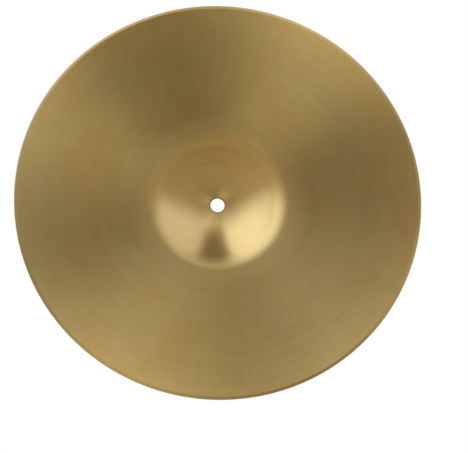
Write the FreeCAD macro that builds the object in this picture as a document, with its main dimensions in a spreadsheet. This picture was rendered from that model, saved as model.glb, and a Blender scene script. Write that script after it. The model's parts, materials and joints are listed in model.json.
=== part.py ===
"""Crash cymbal: one bare 14 inch disc of brass sheet, spun to shape, with an open centre hole.

The real object is a single piece of metal, so the document holds a single body. Its zones, from the axis
outwards, are the crown with the hole, the domed bell, the crease where the bell turns into the bow, the
gently arched bow, and the edge, whose underside is bevelled upwards over the last few millimetres.

Frame, in millimetres: Z is the axis of revolution, with the bell upwards. The origin is the centre of the
circle that the cymbal stands on, just inside the rim, so it rests bell up on the plane Z = 0.
"""

import FreeCAD, Part
import math
import os

import Sketcher

NODE = "cymbal"
RADIUS_TOLERANCE = 1e-4

# alias: (value in mm, what it is)
DIMENSIONS = {
    "cymbal_diameter": (355.6, "across the rim: 14 inch"),
    "crown_height": (32.0, "resting plane to the top face at the hole"),
    "sheet_thickness": (1.0, "brass sheet, before the edge is bevelled"),
    "hole_diameter": (12.7, "centre hole: 1/2 inch"),
    "hole_deburr": (0.15, "chamfer on both mouths of the centre hole"),
    "bell_diameter": (126.0, "outside of the crease, where the bow starts"),
    "bow_height": (14.0, "resting plane to the top face where the bow starts"),
    "crease_radius": (30.0, "top face of the crease between bell and bow"),
    "bow_radius": (1500.0, "arch of the bow's top face, in section"),
    "edge_height": (0.6, "resting plane to the top corner of the rim"),
    "edge_wall": (0.4, "wall left at the very rim, above the bevel"),
    "edge_rounding": (0.2, "radius that breaks both corners of the rim"),
}

# the sketcher's numbers for a curve's points, and for the sketch's own origin and axes
START, END, CENTRE = 1, 2, 3
ORIGIN = (-1, 1)
HORIZONTAL_AXIS, VERTICAL_AXIS = -1, -2


def make_sheet(doc):
    """Puts the driving dimensions in a spreadsheet, one row each, with an alias per value."""
    sheet = doc.addObject("Spreadsheet::Sheet", "dimensions")
    for row, (alias, (value, meaning)) in enumerate(DIMENSIONS.items(), start=1):
        sheet.set(f"A{row}", alias)
        sheet.set(f"B{row}", str(value))
        sheet.set(f"C{row}", meaning)
        sheet.setAlias(f"B{row}", alias)
    doc.recompute()
    return sheet


def new_sketch(body, name, role):
    """An empty sketch on the body's own origin plane with that role."""
    plane = next(feature for feature in body.Origin.OriginFeatures if feature.Role == role)
    sketch = body.newObject("Sketcher::SketchObject", name)
    sketch.AttachmentSupport = [(plane, "")]
    sketch.MapMode = "FlatFace"
    return sketch


def arc(centre, start, end, thicker=0.0):
    """The arc about centre, anticlockwise from start to end, with thicker added to its radius."""
    angles = [math.atan2(point.y - centre.y, point.x - centre.x) for point in (start, end)]
    circle = Part.Circle(centre, FreeCAD.Vector(0, 0, 1), (start - centre).Length + thicker)
    return Part.ArcOfCircle(circle, *angles)


def add_section_curves(sketch, sheet):
    """Draws half of the section, with x outwards and y up, near enough for the constraints to settle.

    Each face of the sheet is three tangent arcs. The bow's arc runs from the rim in to the crease, the
    crease's arc curves the other way, and the bell's arc is centred on the axis. Both faces share centres.
    """
    point = FreeCAD.Vector
    thickness = float(sheet.sheet_thickness)
    rim = point(sheet.cymbal_diameter / 2, sheet.edge_height)
    bow_start = point(sheet.bell_diameter / 2, sheet.bow_height)

    chord = rim - bow_start
    down = point(chord.y, -chord.x).normalize()
    bow_centre = (rim + bow_start) / 2 + down * math.sqrt(sheet.bow_radius**2 - chord.Length**2 / 4)
    crease_centre = bow_start + (bow_start - bow_centre).normalize() * float(sheet.crease_radius)

    rise = crease_centre.y - sheet.crown_height
    span = crease_centre.x**2 + rise**2 - sheet.crease_radius**2
    bell_centre = point(0, sheet.crown_height - span / (2 * (sheet.crease_radius - rise)))
    crease_start = crease_centre + (bell_centre - crease_centre).normalize() * float(sheet.crease_radius)

    crown = point(sheet.hole_diameter / 2, sheet.crown_height)
    under_crown = crown - point(0, thickness)
    foot = point(rim.x, sheet.edge_height - sheet.edge_wall)
    fall = (rim.x - bow_centre.x) / (rim.y - bow_centre.y)
    contact = point(rim.x - (thickness - sheet.edge_height) / fall, 0)
    curves = {
        "bell": arc(bell_centre, crease_start, crown),
        "crease": arc(crease_centre, crease_start, bow_start),
        "bow": arc(bow_centre, rim, bow_start),
        "edge": Part.LineSegment(rim, foot),
        "bevel": Part.LineSegment(foot, contact),
        "bow_under": arc(bow_centre, rim, bow_start, thicker=-thickness),
        "crease_under": arc(crease_centre, crease_start, bow_start, thicker=thickness),
        "bell_under": arc(bell_centre, crease_start, crown, thicker=-thickness),
        "hole_wall": Part.LineSegment(under_crown, crown),
    }
    return {name: sketch.addGeometry(curve, False) for name, curve in curves.items()}


def join_section_curves(sketch, curve):
    """Closes the outline, keeps its arcs tangent, and centres the bell on the axis."""
    joints = [
        ("Tangent", curve["bell"], START, curve["crease"], START),
        ("Tangent", curve["crease"], END, curve["bow"], END),
        ("Coincident", curve["bow"], START, curve["edge"], START),
        ("Coincident", curve["edge"], END, curve["bevel"], START),
        ("Coincident", curve["bevel"], END, curve["bow_under"], START),
        ("Tangent", curve["bow_under"], END, curve["crease_under"], END),
        ("Tangent", curve["crease_under"], START, curve["bell_under"], START),
        ("Coincident", curve["bell_under"], END, curve["hole_wall"], START),
        ("Coincident", curve["hole_wall"], END, curve["bell"], END),
        ("Coincident", curve["bow_under"], CENTRE, curve["bow"], CENTRE),
        ("Coincident", curve["crease_under"], CENTRE, curve["crease"], CENTRE),
        ("Coincident", curve["bell_under"], CENTRE, curve["bell"], CENTRE),
        ("PointOnObject", curve["bell"], CENTRE, VERTICAL_AXIS),
        ("PointOnObject", curve["bevel"], END, HORIZONTAL_AXIS),
        ("Vertical", curve["edge"]),
        ("Vertical", curve["hole_wall"]),
    ]
    for joint in joints:
        sketch.addConstraint(Sketcher.Constraint(*joint))


def dimension_section(sketch, curve):
    """Binds each dimension of the section to the spreadsheet. A distance runs from the first point named."""
    under_crease = "crease_radius + dimensions.sheet_thickness"
    dimensions = {
        "rim_radius": ("cymbal_diameter / 2", "DistanceX", *ORIGIN, curve["edge"], END),
        "hole_radius": ("hole_diameter / 2", "DistanceX", *ORIGIN, curve["hole_wall"], END),
        "crown_height": ("crown_height", "DistanceY", *ORIGIN, curve["hole_wall"], END),
        "bow_start_radius": ("bell_diameter / 2", "DistanceX", *ORIGIN, curve["crease"], END),
        "bow_start_height": ("bow_height", "DistanceY", *ORIGIN, curve["crease"], END),
        "bow_radius": ("bow_radius", "Radius", curve["bow"]),
        "crease_radius": ("crease_radius", "Radius", curve["crease"]),
        "crease_under_radius": (under_crease, "Radius", curve["crease_under"]),
        "edge_height": ("edge_height", "DistanceY", *ORIGIN, curve["edge"], START),
        "edge_wall": ("edge_wall", "DistanceY", curve["edge"], END, curve["edge"], START),
    }
    for name, (formula, kind, *points) in dimensions.items():
        expression = f"dimensions.{formula}"
        value = float(sketch.evalExpression(expression))
        index = sketch.addConstraint(Sketcher.Constraint(kind, *points, value))
        sketch.renameConstraint(index, name)
        sketch.setExpression(f"Constraints.{name}", expression)


def add_disc(body, sheet):
    """The whole disc with its hole, as the section turned about the cymbal's axis."""
    section = new_sketch(body, "section", "XZ_Plane")
    curve = add_section_curves(section, sheet)
    join_section_curves(section, curve)
    dimension_section(section, curve)
    disc = body.newObject("PartDesign::Revolution", "disc")
    disc.Profile = section
    disc.ReferenceAxis = (section, ["V_Axis"])
    disc.Angle = 360.0
    return disc


def circles_of_radius(shape, radius):
    """Names of the shape's circular edges of that radius."""
    return [
        f"Edge{number}"
        for number, edge in enumerate(shape.Edges, start=1)
        if isinstance(edge.Curve, Part.Circle) and abs(edge.Curve.Radius - radius) < RADIUS_TOLERANCE
    ]


def add_hole_deburr(body, disc, sheet):
    """A small chamfer on both mouths of the centre hole."""
    deburr = body.newObject("PartDesign::Chamfer", "hole_deburr")
    deburr.Base = (disc, circles_of_radius(disc.Shape, sheet.hole_diameter / 2))
    deburr.setExpression("Size", "dimensions.hole_deburr")
    return deburr


def add_edge_rounding(body, base, sheet):
    """Both corners of the rim's wall, broken so that the edge isn't sharp."""
    rounding = body.newObject("PartDesign::Fillet", "edge_rounding")
    rounding.Base = (base, circles_of_radius(base.Shape, sheet.cymbal_diameter / 2))
    rounding.setExpression("Radius", "dimensions.edge_rounding")
    return rounding


def build_cymbal(doc, sheet):
    """The one piece of metal, as a body."""
    body = doc.addObject("PartDesign::Body", NODE)
    body.Label = NODE
    body.Placement = FreeCAD.Placement()
    disc = add_disc(body, sheet)
    doc.recompute()
    deburr = add_hole_deburr(body, disc, sheet)
    doc.recompute()
    add_edge_rounding(body, deburr, sheet)
    doc.recompute()
    return body


def check(doc, bodies):
    """Stops the build if a feature failed, a sketch is loose, or a body isn't one sound solid."""
    failed = [item.Name for item in doc.Objects if {"Invalid", "Error"} & set(item.State)]
    loose = [item.Name for item in doc.findObjects("Sketcher::SketchObject") if not item.FullyConstrained]
    if failed or loose:
        raise RuntimeError(f"failed objects: {failed}, sketches not fully constrained: {loose}")
    for body in bodies:
        shape = body.Shape
        if shape.isNull() or not shape.isValid() or len(shape.Solids) != 1:
            raise RuntimeError(f"{body.Label} isn't one valid solid")


def main():
    os.makedirs("parts", exist_ok=True)
    doc = FreeCAD.newDocument("crash_cymbal")
    sheet = make_sheet(doc)
    bodies = [build_cymbal(doc, sheet)]
    doc.recompute()
    check(doc, bodies)
    for body in bodies:
        body.Shape.exportStep(f"parts/{body.Label}.step")
        box = body.Shape.BoundBox
        print(f"{body.Label}: {body.Shape.Volume:.1f} mm3")
        print(f"{box.XLength:.3f} mm across, {box.ZLength:.3f} mm high")


main()
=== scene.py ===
import json
import math

import bpy
from mathutils import Matrix, Vector


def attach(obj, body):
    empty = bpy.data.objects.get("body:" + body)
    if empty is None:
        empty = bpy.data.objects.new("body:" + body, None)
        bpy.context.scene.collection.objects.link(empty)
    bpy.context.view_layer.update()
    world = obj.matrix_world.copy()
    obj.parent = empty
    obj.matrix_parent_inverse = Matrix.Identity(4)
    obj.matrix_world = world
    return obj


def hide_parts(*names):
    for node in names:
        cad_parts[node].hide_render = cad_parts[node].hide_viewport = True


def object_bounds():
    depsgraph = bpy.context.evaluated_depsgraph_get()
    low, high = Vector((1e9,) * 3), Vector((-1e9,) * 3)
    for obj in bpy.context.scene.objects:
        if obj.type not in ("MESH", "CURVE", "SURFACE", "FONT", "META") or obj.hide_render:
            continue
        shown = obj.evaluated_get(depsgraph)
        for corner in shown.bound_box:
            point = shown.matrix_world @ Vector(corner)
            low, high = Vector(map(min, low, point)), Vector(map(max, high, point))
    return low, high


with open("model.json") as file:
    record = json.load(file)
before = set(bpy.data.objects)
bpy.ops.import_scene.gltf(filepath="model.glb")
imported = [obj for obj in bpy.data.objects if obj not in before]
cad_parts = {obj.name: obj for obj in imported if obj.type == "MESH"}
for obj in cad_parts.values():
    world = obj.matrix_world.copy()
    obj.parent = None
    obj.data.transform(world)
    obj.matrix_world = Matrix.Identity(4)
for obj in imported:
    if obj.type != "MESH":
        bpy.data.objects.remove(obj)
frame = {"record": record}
cad_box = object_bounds()


def mount(name):
    """The mount of that name in the frame's record."""
    return next(entry for entry in frame["record"]["mounts"] if entry["name"] == name)


# ---------------------------------------------------------------- sizes, metres
# These four come from the CAD. The box is in single precision, so it's rounded to the micrometre.
RIM_RADIUS = round(cad_box[1][0], 6)
CROWN_HEIGHT = mount("upper_felt_seat")["pos_m"][2]
SHEET = round(CROWN_HEIGHT - mount("lower_felt_seat")["pos_m"][2], 6)
HOLE_RADIUS = mount("centre_hole")["dims"]["r_mm"] / 1000
HOLE_DEBURR = 0.00015
# where the top face of the bow begins: distance from the axis, and height
BOW_START = 0.0630
BOW_HEIGHT = 0.0140
CREASE_RADIUS = 0.0300
BOW_RADIUS = 1.5000
EDGE_HEIGHT = 0.0006
EDGE_WALL = 0.0004
EDGE_ROUNDING = 0.0002

# lathe bands left in the bow: (height, spacing, shift), fading out towards the crease and the rim
LATHE_BANDS = ((0.000003, 0.0093, 0.5), (0.000002, 0.0057, 2.1), (0.000004, 0.0180, 4.0))
BANDS_INNER_FADE = (0.070, 0.080)
BANDS_OUTER_FADE = (0.170, 0.160)

# mesh density, and the bend between two faces from which their shared edge is shown sharp
TURNS = 240
BELL_STEPS = 40
CREASE_STEPS = 24
BOW_STEPS = 115
BEVEL_STEPS = 6
CORNER_STEPS = 5
SHARP_BEND = math.radians(10)

# the centre of the bell's sphere lies between these two heights, and is found by halving
BELL_CENTRE_RANGE = (-2.0, 0.02)
HALVINGS = 100

# ---------------------------------------------------------------- the photograph's camera
# It looks up into the hollow. These values were calibrated on the rim and the hole.
VIEW_TILT = math.radians(74.475)
VIEW_DISTANCE = 1.2583
VIEW_ROLL = math.radians(11.36)
AIM_RIGHT = 0.01015
AIM_UP = -0.02102
LENS = 111.0
SENSOR = 36.0
CLIP_NEAR = 0.01
CLIP_FAR = 50.0


# ---------------------------------------------------------------- camera
def view_axes():
    """Line of sight, picture right and picture up, before the small aim correction."""
    sight = Vector((0.0, math.cos(VIEW_TILT), math.sin(VIEW_TILT)))
    up = Vector((0.0, 1.0, 0.0)) - sight * sight.y
    up.normalize()
    right = sight.cross(up)
    c = math.cos(VIEW_ROLL)
    s = math.sin(VIEW_ROLL)
    return sight, c * right + s * up, c * up - s * right


def add_camera():
    sight, right, up = view_axes()
    position = -VIEW_DISTANCE * sight
    aim = (sight + AIM_RIGHT * right + AIM_UP * up).normalized()
    right = (right - aim * right.dot(aim)).normalized()
    up = right.cross(aim)
    data = bpy.data.cameras.new("photo_camera")
    data.lens = LENS
    data.sensor_width = SENSOR
    data.sensor_fit = "HORIZONTAL"
    data.clip_start = CLIP_NEAR
    data.clip_end = CLIP_FAR
    camera = bpy.data.objects.new("photo_camera", data)
    bpy.context.scene.collection.objects.link(camera)
    camera.matrix_world = Matrix((
        (right.x, up.x, -aim.x, position.x),
        (right.y, up.y, -aim.y, position.y),
        (right.z, up.z, -aim.z, position.z),
        (0.0, 0.0, 0.0, 1.0),
    ))
    bpy.context.scene.camera = camera


# ---------------------------------------------------------------- section of the sheet
# A point of the section is its distance from the axis and its height.
def bow_centre():
    """Centre of the large arc of the bow, from the top of the rim to where the crease begins."""
    rim = Vector((RIM_RADIUS, EDGE_HEIGHT))
    start = Vector((BOW_START, BOW_HEIGHT))
    chord = rim - start
    inward = Vector((chord.y, -chord.x)).normalized()
    reach = math.sqrt(BOW_RADIUS ** 2 - chord.length_squared / 4)
    return (rim + start) / 2 + inward * reach


def crease_centre():
    start = Vector((BOW_START, BOW_HEIGHT))
    return start + (start - bow_centre()).normalized() * CREASE_RADIUS


def bell_sphere(centre_height):
    """Radius of the top of the bell, which passes through the crown at the hole."""
    return math.hypot(HOLE_RADIUS, CROWN_HEIGHT - centre_height)


def bell_centre():
    """Centre of the sphere of the bell, on the axis, so that it touches the arc of the crease."""
    crease = crease_centre()
    low, high = BELL_CENTRE_RANGE
    for _ in range(HALVINGS):
        middle = (low + high) / 2
        reach = math.hypot(crease.x, crease.y - middle)
        if reach - bell_sphere(middle) < CREASE_RADIUS:
            low = middle
        else:
            high = middle
    return Vector((0.0, (low + high) / 2))


def contact_radius():
    """Where the underside of the bow comes down to the resting plane."""
    bow = bow_centre()
    return bow.x + math.sqrt((BOW_RADIUS - SHEET) ** 2 - bow.y ** 2)


def arc_points(centre, radius, start, end, side, steps):
    """Points of an arc between two distances from the axis, on its upper (1) or lower (-1) half."""
    points = []
    for i in range(steps + 1):
        x = start + (end - start) * i / steps
        y = centre.y + side * math.sqrt(radius ** 2 - (x - centre.x) ** 2)
        points.append((x, y))
    return points


def ramp(x, zero_at, one_at):
    """0 to 1 as x goes from zero_at to one_at, in a straight line."""
    return min(max((x - zero_at) / (one_at - zero_at), 0.0), 1.0)


def lathe_height(x):
    """How far the bands of the lathe lift the surface at a distance from the axis."""
    total = 0.0
    for height, spacing, shift in LATHE_BANDS:
        total += height * math.sin(2 * math.pi * x / spacing + shift)
    return total * ramp(x, *BANDS_INNER_FADE) * ramp(x, *BANDS_OUTER_FADE)


def face_points(offset):
    """One face of the sheet from the hole to the rim, offset below the top face."""
    bow = bow_centre()
    crease = crease_centre()
    bell = bell_centre()
    join_in = crease + (bell - crease).normalized() * (CREASE_RADIUS + offset)
    join_out = crease + (bow - crease).normalized() * (CREASE_RADIUS + offset)
    rim = RIM_RADIUS if offset == 0 else contact_radius()
    hole = HOLE_RADIUS + HOLE_DEBURR
    points = arc_points(bell, bell_sphere(bell.y) - offset, hole, join_in.x, 1, BELL_STEPS)
    points += arc_points(crease, CREASE_RADIUS + offset, join_in.x, join_out.x, -1, CREASE_STEPS)[1:]
    points += arc_points(bow, BOW_RADIUS - offset, join_out.x, rim, 1, BOW_STEPS)[1:]
    return [(x, z + lathe_height(x)) for x, z in points]


def rounded_corner(corner, before, after):
    """A corner of the rim between two neighbours, replaced by an arc that touches both sides."""
    corner = Vector(corner)
    to_before = (Vector(before) - corner).normalized()
    to_after = (Vector(after) - corner).normalized()
    half = to_before.angle(to_after) / 2
    reach = EDGE_ROUNDING / math.tan(half)
    centre = corner + (to_before + to_after).normalized() * EDGE_ROUNDING / math.sin(half)
    first = corner + to_before * reach - centre
    last = corner + to_after * reach - centre
    start = math.atan2(first.y, first.x)
    turn = math.remainder(math.atan2(last.y, last.x) - start, 2 * math.pi)
    points = []
    for i in range(CORNER_STEPS + 1):
        angle = start + turn * i / CORNER_STEPS
        x = centre.x + EDGE_ROUNDING * math.cos(angle)
        z = centre.y + EDGE_ROUNDING * math.sin(angle)
        points.append((x, z))
    return points


def section():
    """The closed outline of the sheet: top face, rim, bevel, underside, wall of the hole."""
    top = face_points(0.0)
    under = face_points(SHEET)
    upper_corner = (RIM_RADIUS, EDGE_HEIGHT)
    lower_corner = (RIM_RADIUS, EDGE_HEIGHT - EDGE_WALL)
    contact = under[-1]
    outline = top[:-1]
    outline += rounded_corner(upper_corner, top[-2], lower_corner)
    outline += rounded_corner(lower_corner, upper_corner, contact)
    last = Vector(outline[-1])
    for i in range(1, BEVEL_STEPS):
        outline.append(tuple(last.lerp(Vector(contact), i / BEVEL_STEPS)))
    outline += list(reversed(under))
    crown_top = top[0][1]
    crown_under = under[0][1]
    outline.append((HOLE_RADIUS, crown_under + HOLE_DEBURR))
    outline.append((HOLE_RADIUS, crown_top - HOLE_DEBURR))
    return outline


def turned(outline):
    """Vertices and faces of a closed outline turned once about the axis."""
    count = len(outline)
    vertices = []
    faces = []
    for turn in range(TURNS):
        angle = 2 * math.pi * turn / TURNS
        for x, z in outline:
            vertices.append((x * math.cos(angle), x * math.sin(angle), z))
        here = turn * count
        following = (turn + 1) % TURNS * count
        for i in range(count):
            j = (i + 1) % count
            faces.append((here + i, here + j, following + j, following + i))
    return vertices, faces


def add_cymbal():
    vertices, faces = turned(section())
    mesh = bpy.data.meshes.new("cymbal_sheet")
    mesh.from_pydata(vertices, [], faces)
    mesh.validate()
    mesh.shade_smooth()
    mesh.set_sharp_from_angle(angle=SHARP_BEND)
    sheet = bpy.data.objects.new("cymbal_sheet", mesh)
    bpy.context.scene.collection.objects.link(sheet)
    return sheet


# ---------------------------------------------------------------- node helpers
class Nodes:
    """Short ways to add and join nodes in one tree."""

    def __init__(self, tree):
        self.tree = tree
        tree.nodes.clear()

    def add(self, kind, **settings):
        node = self.tree.nodes.new(kind)
        for name, value in settings.items():
            setattr(node, name, value)
        return node

    def join(self, source, target):
        self.tree.links.new(source, target)

    def put(self, target, value):
        """Sets an input to a number, or joins it to another node's output."""
        if isinstance(value, bpy.types.NodeSocket):
            self.join(value, target)
        else:
            target.default_value = value

    def math(self, operation, a, b=0.0, clamp=False):
        node = self.add("ShaderNodeMath", operation=operation, use_clamp=clamp)
        self.put(node.inputs[0], a)
        self.put(node.inputs[1], b)
        return node.outputs[0]

    def plus(self, a, b):
        return self.math("ADD", a, b)

    def minus(self, a, b):
        return self.math("SUBTRACT", a, b)

    def times(self, a, b):
        return self.math("MULTIPLY", a, b)

    def length(self, x, y):
        return self.math("SQRT", self.plus(self.times(x, x), self.times(y, y)))

    def dot(self, vector, axis):
        node = self.add("ShaderNodeVectorMath", operation="DOT_PRODUCT")
        self.join(vector, node.inputs[0])
        node.inputs[1].default_value = axis
        return node.outputs["Value"]

    def smooth(self, value, zero_at, one_at):
        """0 to 1 as value goes from zero_at to one_at, eased at both ends."""
        node = self.add("ShaderNodeMapRange", interpolation_type="SMOOTHSTEP")
        self.put(node.inputs["Value"], value)
        rising = one_at > zero_at
        node.inputs["From Min"].default_value = zero_at if rising else one_at
        node.inputs["From Max"].default_value = one_at if rising else zero_at
        node.inputs["To Min"].default_value = 0.0 if rising else 1.0
        node.inputs["To Max"].default_value = 1.0 if rising else 0.0
        return node.outputs["Result"]

    def mix(self, factor, a, b):
        node = self.add("ShaderNodeMix", data_type="FLOAT")
        self.put(node.inputs[0], factor)
        self.put(node.inputs[2], a)
        self.put(node.inputs[3], b)
        return node.outputs[0]

    def mix_colour(self, factor, a, b, blend="MIX"):
        node = self.add("ShaderNodeMix", data_type="RGBA", blend_type=blend)
        self.put(node.inputs[0], factor)
        self.put(node.inputs[6], a)
        self.put(node.inputs[7], b)
        return node.outputs[2]

    def scaled_colour(self, colour, amount):
        """A colour, or another node's colour, times an amount."""
        node = self.add("ShaderNodeVectorMath", operation="SCALE")
        self.put(node.inputs[0], colour[:3] if isinstance(colour, tuple) else colour)
        self.put(node.inputs["Scale"], amount)
        return node.outputs[0]

    def vector(self, x, y, z):
        node = self.add("ShaderNodeCombineXYZ")
        self.put(node.inputs[0], x)
        self.put(node.inputs[1], y)
        self.put(node.inputs[2], z)
        return node.outputs[0]

    def parts(self, vector):
        """The x, y and z of a vector."""
        node = self.add("ShaderNodeSeparateXYZ")
        self.join(vector, node.inputs[0])
        return node.outputs[0], node.outputs[1], node.outputs[2]

    def noise(self, vector, scale, detail, roughness=0.5):
        node = self.add("ShaderNodeTexNoise")
        self.join(vector, node.inputs["Vector"])
        node.inputs["Scale"].default_value = scale
        node.inputs["Detail"].default_value = detail
        node.inputs["Roughness"].default_value = roughness
        return node.outputs["Fac"]


# ---------------------------------------------------------------- brass
BRASS = (0.82, 0.58, 0.205, 1.0)
TARNISH = (0.74, 0.47, 0.14, 1.0)
HAZE = (0.70, 0.54, 0.23, 1.0)
# painted highlight: a paler colour along the rim's edge
EDGE_HIGHLIGHT = (0.86, 0.74, 0.46, 1.0)
GRIME = (0.16, 0.10, 0.05, 1.0)

# zones of the finish, as distances from the axis: (where it's absent, where it's full)
BOW_ZONE = (0.052, 0.066)
CREASE_INNER_SIDE = (0.048, 0.056)
CREASE_OUTER_SIDE = (0.085, 0.064)
# where the painted highlight along the rim's edge begins and is full
EDGE_HIGHLIGHT_ZONE = (0.1767, 0.1776)
GRIME_ZONE = (0.0078, 0.0066)

# patches: (patches per metre, detail)
CLOUDS = (14.0, 3.0)
BLOTCHES = (75.0, 2.0)
HAZE_PATCHES = (9.0, 2.0)
# turning marks: (marks per metre across the radius, reach, detail), and their roughness as noise
BANDS = (160.0, 1.2, 2.0)
LINES = (1400.0, 2.5, 4.0)
MARK_NOISE = 0.6

# tone: 1 on the bell, and on the bow from an inner tone to a brighter tone at the rim, as the brightening
# grows from its start over its width
INNER_BOW_TONE = 0.86
RIM_BOW_TONE = 1.04
BRIGHTENING_START = 0.125
BRIGHTENING_WIDTH = 0.053
# how much each pattern varies the tone
CLOUD_SWING = 0.12
BLOTCH_SWING = 0.10
BAND_SWING = 0.06
LINE_SWING = 0.12
# where in its noise tarnish or haze begins and is full, and how strong it is there
TARNISH_RANGE = (0.40, 0.68)
TARNISH_STRENGTH = 0.55
HAZE_RANGE = (0.48, 0.72)
HAZE_STRENGTH = 0.5

GRIME_STRENGTH = 0.75
# a scatter of cells, with a speck in a share of them
SPECK_CELLS = 34.0
SPECK_RADIUS = 0.0010
SPECK_CORE = 0.3
SPECK_SHARE = 0.35
SPECK_STRENGTH = 0.55
# the scratch inside the bell is an arc about its own centre, between two bearings in degrees
SCRATCH_CENTRE = (0.002, -0.001, 0.0)
SCRATCH_RADIUS = 0.0380
SCRATCH_WIDTH = 0.0005
SCRATCH_FROM = 28.0
SCRATCH_TO = 90.0
SCRATCH_TAPER = 12.0
SCRATCH_STRENGTH = 0.30

# roughness of the bell and of the bow, and what the crease, the lines and the marks add to it
BELL_ROUGHNESS = 0.25
BOW_ROUGHNESS = 0.21
CREASE_ROUGHNESS = 0.06
LINE_ROUGHNESS = 0.05
MARK_ROUGHNESS = 0.15
# how far the brushing stretches reflections, across the turning marks
BELL_BRUSHING = 0.42
BOW_BRUSHING = 0.55
QUARTER_TURN = 0.25
# height of the lines, and the depth of the other marks as a share of it
RELIEF = 0.000004
MARK_RELIEF = 0.5


def turning_marks(n, radius, around, per_metre, reach, detail):
    """Noise drawn out along circles, per_metre across the radius. A smaller reach makes it longer."""
    across = n.times(radius, per_metre)
    spot = n.vector(across, n.times(around[0], reach), n.times(around[1], reach))
    return n.noise(spot, 1.0, detail, MARK_NOISE)


def brass_tone(n, radius, bow, patterns):
    """Bright on the bell, duller on the bow, brighter towards the rim, and varied by patterns."""
    towards_rim = n.math("MULTIPLY", n.minus(radius, BRIGHTENING_START), 1 / BRIGHTENING_WIDTH, clamp=True)
    towards_rim = n.math("POWER", towards_rim, 2.0)
    tone = n.mix(bow, 1.0, n.mix(towards_rim, INNER_BOW_TONE, RIM_BOW_TONE))
    for pattern, swing in patterns:
        tone = n.times(tone, n.plus(n.times(pattern, swing), 1 - swing / 2))
    return tone


def brass_colour(n, where, radius, bow, clouds):
    """Brass with tarnish in the clouds, patches of haze on the bow, and a painted highlight along the
    rim's edge, in a paler colour.
    """
    tarnish = n.times(n.smooth(clouds, *TARNISH_RANGE), TARNISH_STRENGTH)
    colour = n.mix_colour(tarnish, BRASS, TARNISH)
    haze = n.times(n.smooth(n.noise(where, *HAZE_PATCHES), *HAZE_RANGE), HAZE_STRENGTH)
    colour = n.mix_colour(n.times(haze, bow), colour, HAZE)
    # painted highlight: the rim's edge is mixed towards a paler colour
    return n.mix_colour(n.smooth(radius, *EDGE_HIGHLIGHT_ZONE), colour, EDGE_HIGHLIGHT)


def specks(n, where):
    """Small round spots in some of the cells of a scatter."""
    cells = n.add("ShaderNodeTexVoronoi", feature="F1")
    n.join(where, cells.inputs["Vector"])
    cells.inputs["Scale"].default_value = SPECK_CELLS
    chance = n.add("ShaderNodeSeparateColor")
    n.join(cells.outputs["Color"], chance.inputs[0])
    chosen = n.math("LESS_THAN", chance.outputs[0], SPECK_SHARE)
    size = SPECK_RADIUS * SPECK_CELLS
    return n.times(n.smooth(cells.outputs["Distance"], size, SPECK_CORE * size), chosen)


def hollow_side(n, where):
    """1 on the hollow side of the bell, 0 on its top: nearer the bell's centre than the sheet's middle."""
    centre = bell_centre()
    away = n.add("ShaderNodeVectorMath", operation="DISTANCE")
    n.join(where, away.inputs[0])
    away.inputs[1].default_value = (0.0, 0.0, centre.y)
    return n.math("LESS_THAN", away.outputs["Value"], bell_sphere(centre.y) - SHEET / 2)


def scratch(n, where):
    """A long fine arc on the hollow side of the bell, tapering at both ends."""
    offset = n.add("ShaderNodeVectorMath", operation="SUBTRACT")
    n.join(where, offset.inputs[0])
    offset.inputs[1].default_value = SCRATCH_CENTRE
    x, y, _ = n.parts(offset.outputs[0])
    away = n.math("ABSOLUTE", n.minus(n.length(x, y), SCRATCH_RADIUS))
    line = n.smooth(away, SCRATCH_WIDTH, 0.0)
    bearing = n.times(n.math("ARCTAN2", y, x), 180 / math.pi)
    begins = n.smooth(bearing, SCRATCH_FROM, SCRATCH_FROM + SCRATCH_TAPER)
    stops = n.smooth(bearing, SCRATCH_TO, SCRATCH_TO - SCRATCH_TAPER)
    line = n.times(line, n.times(begins, stops))
    return n.times(line, hollow_side(n, where))


def marks_of_use(n, where, radius):
    """Grime round the hole, a few specks, and the scratch."""
    grime = n.times(n.smooth(radius, *GRIME_ZONE), GRIME_STRENGTH)
    dots = n.times(specks(n, where), SPECK_STRENGTH)
    line = n.times(scratch(n, where), SCRATCH_STRENGTH)
    return n.math("MAXIMUM", grime, n.math("MAXIMUM", dots, line))


def finish_brass(n, metal, radius, bow, lines, marks):
    """Brushed round the axis, so that it spreads reflections mostly outwards."""
    metal.inputs["Metallic"].default_value = 1.0
    crease = n.times(n.smooth(radius, *CREASE_INNER_SIDE), n.smooth(radius, *CREASE_OUTER_SIDE))
    rough = n.plus(n.mix(bow, BELL_ROUGHNESS, BOW_ROUGHNESS), n.times(crease, CREASE_ROUGHNESS))
    rough = n.plus(rough, n.times(n.minus(lines, 0.5), LINE_ROUGHNESS))
    rough = n.plus(rough, n.times(marks, MARK_ROUGHNESS))
    n.join(rough, metal.inputs["Roughness"])
    n.put(metal.inputs["Anisotropic"], n.mix(bow, BELL_BRUSHING, BOW_BRUSHING))
    metal.inputs["Anisotropic Rotation"].default_value = QUARTER_TURN
    tangent = n.add("ShaderNodeTangent", direction_type="RADIAL", axis="Z")
    n.join(tangent.outputs[0], metal.inputs["Tangent"])
    relief = n.add("ShaderNodeBump")
    relief.inputs["Strength"].default_value = 1.0
    relief.inputs["Distance"].default_value = RELIEF
    n.join(n.minus(lines, n.times(marks, MARK_RELIEF)), relief.inputs["Height"])
    n.join(relief.outputs[0], metal.inputs["Normal"])


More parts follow.
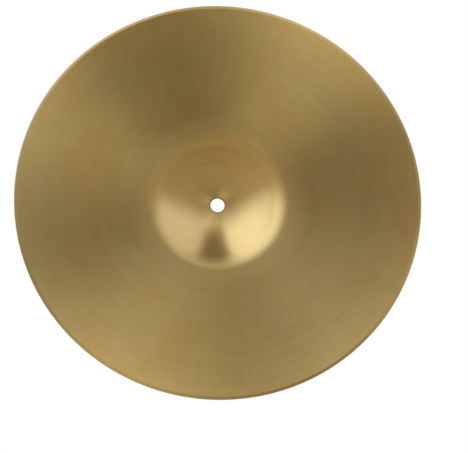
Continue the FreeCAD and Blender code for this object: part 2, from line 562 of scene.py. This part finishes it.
def brass():
    material = bpy.data.materials.new("brushed_brass")
    material.use_nodes = True
    n = Nodes(material.node_tree)
    output = n.add("ShaderNodeOutputMaterial")
    metal = n.add("ShaderNodeBsdfPrincipled")
    n.join(metal.outputs[0], output.inputs[0])
    where = n.add("ShaderNodeTexCoord").outputs["Object"]
    x, y, _ = n.parts(where)
    radius = n.length(x, y)
    around = (n.math("DIVIDE", x, radius), n.math("DIVIDE", y, radius))
    bow = n.smooth(radius, *BOW_ZONE)
    clouds = n.noise(where, *CLOUDS)
    blotches = n.noise(where, *BLOTCHES)
    bands = turning_marks(n, radius, around, *BANDS)
    lines = turning_marks(n, radius, around, *LINES)
    patterns = (
        (clouds, CLOUD_SWING),
        (blotches, BLOTCH_SWING),
        (bands, BAND_SWING),
        (lines, LINE_SWING),
    )
    tone = brass_tone(n, radius, bow, patterns)
    toned = n.scaled_colour(brass_colour(n, where, radius, bow, clouds), tone)
    marks = marks_of_use(n, where, radius)
    n.join(n.mix_colour(marks, toned, GRIME), metal.inputs["Base Color"])
    finish_brass(n, metal, radius, bow, lines, marks)
    return material


# ---------------------------------------------------------------- studio
# What the hollow side mirrors was placed for the photograph's view, and is fixed in the room. Some of
# its values began as a fit to the photograph, and were then rounded or changed. It is laid out
# flat round the line that a flat disc would mirror: x to the picture's right and y down, about in
# radians. Brightness is plain radiance.
ROOM = 0.41
ROOM_FALL_ACROSS = -0.1
ROOM_FALL_DOWN = -0.2
LEFT_PANEL = 1.25
RIGHT_PANEL = 0.85
GAP = 0.17
# edges of the panels: (where it's dark, where it's bright), with a slant for those that aren't square
LEFT_SIDE = (0.0, -0.05)
LEFT_SIDE_SLANT = -0.15
LEFT_FAR_SIDE = (-1.6, -0.7)
LEFT_FOOT = (0.05, -0.50)
LEFT_FOOT_SLANT = 0.3
RIGHT_SIDE = (0.0, 0.12)
RIGHT_SIDE_SLANT = 0.25
RIGHT_FOOT = (0.05, -0.40)
GAP_FOOT = (-0.40, -0.52)
LAMPS = (
    # place, size, brightness
    ((0.09, -0.17), 0.07, 0.7),
    ((0.08, -0.33), 0.11, 0.5),
    ((-0.12, -0.14), 0.07, 0.35),
    ((0.18, 0.07), 0.07, 0.8),
    ((-0.10, 0.18), 0.07, 1.0),
)
LAMP_SOFTNESS = 0.8
SHADE_SIZE = 0.35
SHADE_DEPTH = 0.6
SHADE_SOFTNESS = 0.5
# a slightly warm room, and panels of daylight
ROOM_COLOUR = (1.06, 0.96, 0.82, 1.0)
PANEL_COLOUR = (0.94, 1.03, 1.40, 1.0)
LAMP_COLOUR = (0.97, 1.02, 1.05, 1.0)
# the top side's room: tall soft panels evenly spaced round it, and a broad soft light overhead
UPPER_ROOM = 0.40
UPPER_PANELS = 5
UPPER_PANEL = 0.75
UPPER_TURN = 0.6
UPPER_SIDES = (-0.6, 0.9)
UPPER_TOP = (0.95, 0.55)
KEY_FROM = (-0.35, -0.35, 0.87)
KEY_LIGHT = 0.9
KEY_EDGE = (0.78, 0.97)
# the two rooms blend into each other round the horizon
HORIZON = (-0.03, 0.03)
LIGHT_MAP_SIZE = 2048
WHITE = (1.0, 1.0, 1.0, 1.0)


def mirror_axes():
    """The line that a flat disc mirrors towards the camera, and the picture's right and down round it."""
    _, right, up = view_axes()
    mirror = Vector((0.0, math.cos(VIEW_TILT), -math.sin(VIEW_TILT)))
    across = (right - mirror * right.dot(mirror)).normalized()
    down = mirror.cross(across)
    if down.dot(up) > 0:
        down = -down
    return mirror, across, down


def soft_disc(n, x, y, centre, size, softness):
    """A soft-edged disc: 1 inside, 0 outside."""
    away = n.length(n.minus(x, centre[0]), n.minus(y, centre[1]))
    return n.smooth(away, size * (1 + softness), size * (1 - softness))


def slanted(n, a, b, amount):
    """a plus a share of b, for an edge that runs at a slant."""
    return n.plus(a, n.times(b, amount))


def bright(colour, amount):
    """A plain colour times an amount."""
    return tuple(c * amount for c in colour)


def panels(n, x, y, light):
    """Two tall soft panels above, with a dark gap between them that closes towards the bottom."""
    left = n.smooth(slanted(n, x, y, LEFT_SIDE_SLANT), *LEFT_SIDE)
    right = n.smooth(slanted(n, x, y, RIGHT_SIDE_SLANT), *RIGHT_SIDE)
    right = n.times(right, n.minus(1.0, left))
    between = n.minus(1.0, n.plus(left, right))
    left = n.times(left, n.smooth(slanted(n, y, x, LEFT_FOOT_SLANT), *LEFT_FOOT))
    left = n.times(left, n.smooth(x, *LEFT_FAR_SIDE))
    right = n.times(right, n.smooth(y, *RIGHT_FOOT))
    gap = n.times(between, n.smooth(y, *GAP_FOOT))
    light = n.mix_colour(left, light, bright(PANEL_COLOUR, LEFT_PANEL))
    light = n.mix_colour(right, light, bright(PANEL_COLOUR, RIGHT_PANEL))
    return n.mix_colour(gap, light, bright(ROOM_COLOUR, GAP))


def lower_studio(n, direction):
    """A grey room with two panels and a few soft lamps, shaded round the line that the bow mirrors."""
    mirror, across, down = mirror_axes()
    depth = n.plus(n.dot(direction, mirror), 1.0)
    x = n.math("DIVIDE", n.times(n.dot(direction, across), 2.0), depth)
    y = n.math("DIVIDE", n.times(n.dot(direction, down), 2.0), depth)
    falling = slanted(n, slanted(n, 1.0, x, ROOM_FALL_ACROSS), y, ROOM_FALL_DOWN)
    light = n.scaled_colour(ROOM_COLOUR, n.times(falling, ROOM))
    light = panels(n, x, y, light)
    shade = n.times(soft_disc(n, x, y, (0.0, 0.0), SHADE_SIZE, SHADE_SOFTNESS), SHADE_DEPTH)
    light = n.scaled_colour(light, n.minus(1.0, shade))
    for place, size, brightness in LAMPS:
        lamp = n.times(soft_disc(n, x, y, place, size, LAMP_SOFTNESS), brightness)
        light = n.mix_colour(1.0, light, n.scaled_colour(LAMP_COLOUR, lamp), blend="ADD")
    return light


def upper_studio(n, direction):
    """A ring of tall soft panels round a grey room, and a broad soft light overhead."""
    x, y, z = n.parts(direction)
    bearing = n.math("ARCTAN2", y, x)
    wave = n.math("COSINE", n.plus(n.times(bearing, float(UPPER_PANELS)), UPPER_TURN))
    panel = n.times(n.smooth(wave, *UPPER_SIDES), n.smooth(z, *UPPER_TOP))
    key = n.smooth(n.dot(direction, KEY_FROM), *KEY_EDGE)
    light = n.plus(n.times(panel, UPPER_PANEL), UPPER_ROOM)
    light = n.plus(light, n.times(key, KEY_LIGHT))
    return n.vector(light, light, light)


def add_studio():
    """Soft light from all round. The background itself is plain white where the camera sees it."""
    world = bpy.data.worlds.new("studio")
    bpy.context.scene.world = world
    world.use_nodes = True
    n = Nodes(world.node_tree)
    output = n.add("ShaderNodeOutputWorld")
    direction = n.add("ShaderNodeTexCoord").outputs["Generated"]
    above = n.smooth(n.dot(direction, (0.0, 0.0, 1.0)), *HORIZON)
    lit = n.add("ShaderNodeBackground")
    light = n.mix_colour(above, lower_studio(n, direction), upper_studio(n, direction))
    n.join(light, lit.inputs["Color"])
    white = n.add("ShaderNodeBackground")
    white.inputs["Color"].default_value = WHITE
    choose = n.add("ShaderNodeMixShader")
    n.join(n.add("ShaderNodeLightPath").outputs["Is Camera Ray"], choose.inputs[0])
    n.join(lit.outputs[0], choose.inputs[1])
    n.join(white.outputs[0], choose.inputs[2])
    n.join(choose.outputs[0], output.inputs[0])
    world.cycles.sampling_method = "MANUAL"
    world.cycles.sample_map_resolution = LIGHT_MAP_SIZE


# ---------------------------------------------------------------- floor
FLOOR_COLOUR = (0.93, 0.93, 0.93, 1.0)
FLOOR_HALF_WIDTH = 3.0
# distances from the axis between which it fades into the white background
FLOOR_FADE = (0.35, 1.6)


def pale_floor():
    """Pale and matt from above, and clear from below, so that the hollow of the cymbal can be seen."""
    material = bpy.data.materials.new("pale_floor")
    material.use_nodes = True
    n = Nodes(material.node_tree)
    output = n.add("ShaderNodeOutputMaterial")
    pale = n.add("ShaderNodeBsdfDiffuse")
    pale.inputs["Color"].default_value = FLOOR_COLOUR
    clear = n.add("ShaderNodeBsdfTransparent")
    reach = n.add("ShaderNodeVectorMath", operation="LENGTH")
    n.join(n.add("ShaderNodeTexCoord").outputs["Object"], reach.inputs[0])
    fade = n.smooth(reach.outputs["Value"], *FLOOR_FADE)
    back = n.add("ShaderNodeNewGeometry").outputs["Backfacing"]
    choose = n.add("ShaderNodeMixShader")
    n.join(n.math("MAXIMUM", fade, back), choose.inputs[0])
    n.join(pale.outputs[0], choose.inputs[1])
    n.join(clear.outputs[0], choose.inputs[2])
    n.join(choose.outputs[0], output.inputs[0])
    return material


def add_floor():
    """The floor at the resting plane. The brass neither mirrors it nor is shaded by it."""
    corners = ((-1, -1), (1, -1), (1, 1), (-1, 1))
    vertices = [(x * FLOOR_HALF_WIDTH, y * FLOOR_HALF_WIDTH, 0) for x, y in corners]
    mesh = bpy.data.meshes.new("floor")
    mesh.from_pydata(vertices, [], [(0, 1, 2, 3)])
    mesh.materials.append(pale_floor())
    floor = bpy.data.objects.new("floor", mesh)
    bpy.context.scene.collection.objects.link(floor)
    floor.visible_diffuse = False
    floor.visible_glossy = False
    floor.visible_transmission = False
    floor.visible_shadow = False


# ---------------------------------------------------------------- build
bpy.context.scene.view_settings.view_transform = "Standard"
cymbal = add_cymbal()
cymbal.data.materials.append(brass())
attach(cymbal, "root")
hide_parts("cymbal")
add_studio()
add_floor()
add_camera()
